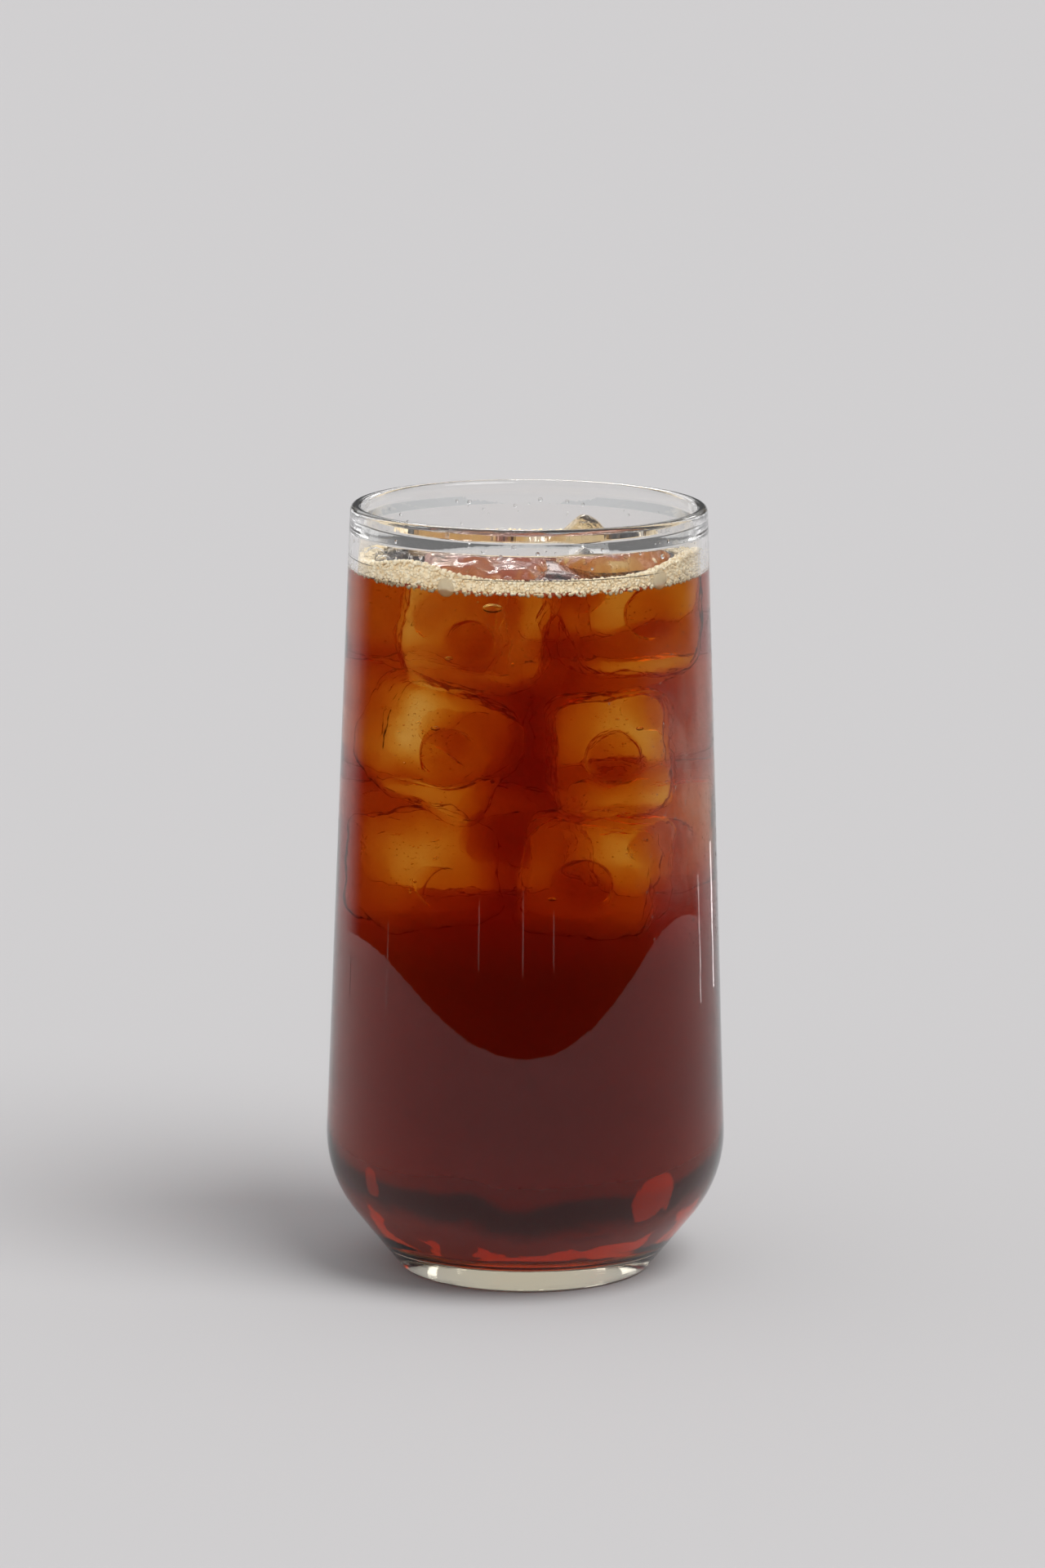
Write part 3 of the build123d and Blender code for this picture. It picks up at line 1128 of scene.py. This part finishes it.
def make_flag():
    """Curved dark wall round the front and sides, which only mirror reflections meet."""
    bm = bmesh.new()
    shade = bm.verts.layers.float.new("shade")
    rows = []
    for i in range(FLAG_STEPS + 1):
        sweep = -FLAG_SWEEP + 2 * FLAG_SWEEP * i / FLAG_STEPS
        azimuth = math.radians(sweep)
        side = FLAG_RIGHT if sweep > 0 else FLAG_LEFT
        x, y = side * math.sin(azimuth), -FLAG_FRONT * math.cos(azimuth)
        row = [bm.verts.new((x, y, height)) for height in (0.0, FLAG_HEIGHT)]
        for vert in row:
            vert[shade] = smoothstep((FLAG_SWEEP - abs(sweep)) / FLAG_FADE)
        rows.append(row)
    join_rows(bm, rows)
    flag = from_bmesh("dark_wall", bm)
    material, nodes, shader = new_material("dark_wall")
    set_sockets(shader, {"Base Color": FLAG_COLOUR, "Roughness": 1.0, "Specular IOR Level": 0.0})
    fade = nodes.add("ShaderNodeAttribute", attribute_name="shade").outputs["Fac"]
    nodes.link(fade, shader.inputs["Alpha"])
    flag.data.materials.append(material)
    for kind in ("camera", "diffuse", "transmission", "volume_scatter", "shadow"):
        setattr(flag, "visible_" + kind, False)


# The sun-like main light: strength, spread in degrees and the way it shines
KEY_STRENGTH = 1.78
KEY_SPREAD = 38
KEY_DIRECTION = (-0.5, 0.42, -0.95)
# Bright panels behind the table, seen in the base of the glass and through the drink: bearing,
# distance, height of the middle, width and height, and brightness
WINDOWS = [(99, 2.2, 1.17, 1.6, 0.8, 1.25), (133, 2.0, 1.05, 0.5, 0.95, 1.3), (70, 2.1, 1.1, 0.14, 0.8, 1.2),
           (57, 2.1, 1.0, 0.2, 0.9, 1.2)]
# Soft round glows low behind the table, seen in the heel: each is built up of ever smaller discs
GLOWS = [(113, 2.0, 0.22, 0.34, 0.42, 3.6), (60, 2.0, 0.2, 0.2, 0.3, 2.4)]
GLOW_STEPS = 5
# Thin bright uprights beside the glass that only its outside mirrors, in the same order
UPRIGHTS = [(50, 0.25, 0.026, 0.009, 0.034, 3.2), (29, 0.25, 0.026, 0.005, 0.03, 2.6)]
# Small strong panels high behind, which only glint on the ice, the froth and the rim
GLINTS = [(97, 1.6, 1.25, 0.45, 0.3, 14.0), (62, 1.7, 0.95, 0.2, 0.3, 9.0)]
# Soft light from the front that only the froth gets
FROTH_LIGHT = (-106, 1.3, 0.75, 1.9, 0.75, 3.5)


def panel(name, bearing, distance, height, width, tall, radiance, target):
    """Bright panel that faces a height on the glass's middle line and leaves the table alone."""
    light = bpy.data.lights.new(name, "AREA")
    light.shape = "RECTANGLE"
    light.size, light.size_y = width, tall
    light.energy = radiance * math.pi * width * tall
    lamp = new_object(name, light)
    lamp.location = at_bearing(bearing, distance, height)
    lamp.rotation_euler = (Vector((0, 0, target)) - lamp.location).to_track_quat("-Z", "Y").to_euler()
    lamp.visible_diffuse = False
    return lamp


def make_lights():
    key = bpy.data.lights.new("key", "SUN")
    key.energy = KEY_STRENGTH
    key.angle = math.radians(KEY_SPREAD)
    lamp = new_object("key", key)
    lamp.rotation_euler = Vector(KEY_DIRECTION).to_track_quat("-Z", "Y").to_euler()
    for i, facts in enumerate(WINDOWS):
        panel(f"window_{i}", *facts, RIM / 2)
    for i, (bearing, distance, height, width, tall, radiance) in enumerate(GLOWS):
        for step in range(GLOW_STEPS):
            share = 1 - step / GLOW_STEPS
            part = (bearing, distance, height, width * share, tall * share, radiance / GLOW_STEPS)
            panel(f"glow_{i}_{step}", *part, RIM / 2).data.shape = "ELLIPSE"
    for i, facts in enumerate(UPRIGHTS):
        panel(f"upright_{i}", *facts, facts[2]).visible_transmission = False
    for i, facts in enumerate(GLINTS):
        panel(f"glint_{i}", *facts, RIM).visible_transmission = False


def make_froth_light():
    """Lights the froth by itself, as the other lamps reach it weakly through the glass."""
    lamp = panel("froth_light", *FROTH_LIGHT, LEVEL)
    lamp.visible_diffuse = True
    lamp.visible_glossy = False
    lamp.visible_transmission = False
    froth = bpy.data.collections.new("froth")
    for name in ("froth_core", "froth_bubbles", "surface_bubbles", "wall_bubbles"):
        froth.objects.link(bpy.data.objects[name])
    lamp.light_linking.receiver_collection = froth
    lamp.light_linking.blocker_collection = froth


# How bright the world is at each height, as the sine of the elevation: a far dark wall stands between
# a pale lower strip and the light overhead.
WORLD = [(0.0, 0.56), (0.05, 0.56), (0.08, 0.16), (0.17, 0.16), (0.24, 0.55)]
WORLD_COLOUR = (0.97, 0.98, 1.0, 1)

# The camera: focal length in mm, place in metres and turn in degrees
CAMERA_LENS = 149.6
CAMERA_PLACE = (0, -1.24, 0.334)
CAMERA_TURN = (90 - 10.9, -0.33, 0.107)


def make_world():
    world = bpy.data.worlds.new("world")
    bpy.context.scene.world = world
    world.use_nodes = True
    nodes = Nodes(world.node_tree)
    direction = nodes.add("ShaderNodeTexCoord").outputs["Generated"]
    height = nodes.add("ShaderNodeSeparateXYZ", {0: direction}).outputs["Z"]
    strength = nodes.add("ShaderNodeValToRGB", {"Fac": height})
    steps = strength.color_ramp.elements
    while len(steps) < len(WORLD):
        steps.new(0.5)
    for step, (place, value) in zip(steps, WORLD):
        step.position = place
        step.color = (value, value, value, 1)
    background = world.node_tree.nodes["Background"]
    background.inputs["Color"].default_value = WORLD_COLOUR
    nodes.link(strength.outputs["Color"], background.inputs["Strength"])


def make_camera():
    camera = bpy.data.cameras.new("camera")
    camera.lens = CAMERA_LENS
    camera.sensor_width = 36
    camera.clip_end = 50
    view = new_object("camera", camera)
    view.location = CAMERA_PLACE
    view.rotation_euler = [math.radians(turn) for turn in CAMERA_TURN]
    bpy.context.scene.camera = view


def set_render():
    scene = bpy.context.scene
    scene.view_settings.view_transform = "Standard"
    scene.cycles.max_bounces = 40
    scene.cycles.transmission_bounces = 36
    scene.cycles.diffuse_bounces = 6
    scene.cycles.glossy_bounces = 12
    scene.cycles.transparent_max_bounces = 16


# -------- all together

make_glass()
ice_cubes = ice_frames()
ice_rooms = make_ice(ice_cubes)
ice_rooms.append(froth_ring("room_froth", -FROTH_ROOM_MARGIN, -FROTH_ROOM_INTO_WALL))
make_air_in_ice(ice_cubes)
make_coffee(ice_rooms)
make_film(ice_rooms)
for room in ice_rooms:
    bpy.data.objects.remove(room)
make_froth()
make_skins()
make_wall_bubbles()
make_surface_bubbles()
make_beads()
make_mist()
make_floor()
make_flag()
make_lights()
make_froth_light()
make_world()
make_camera()
set_render()
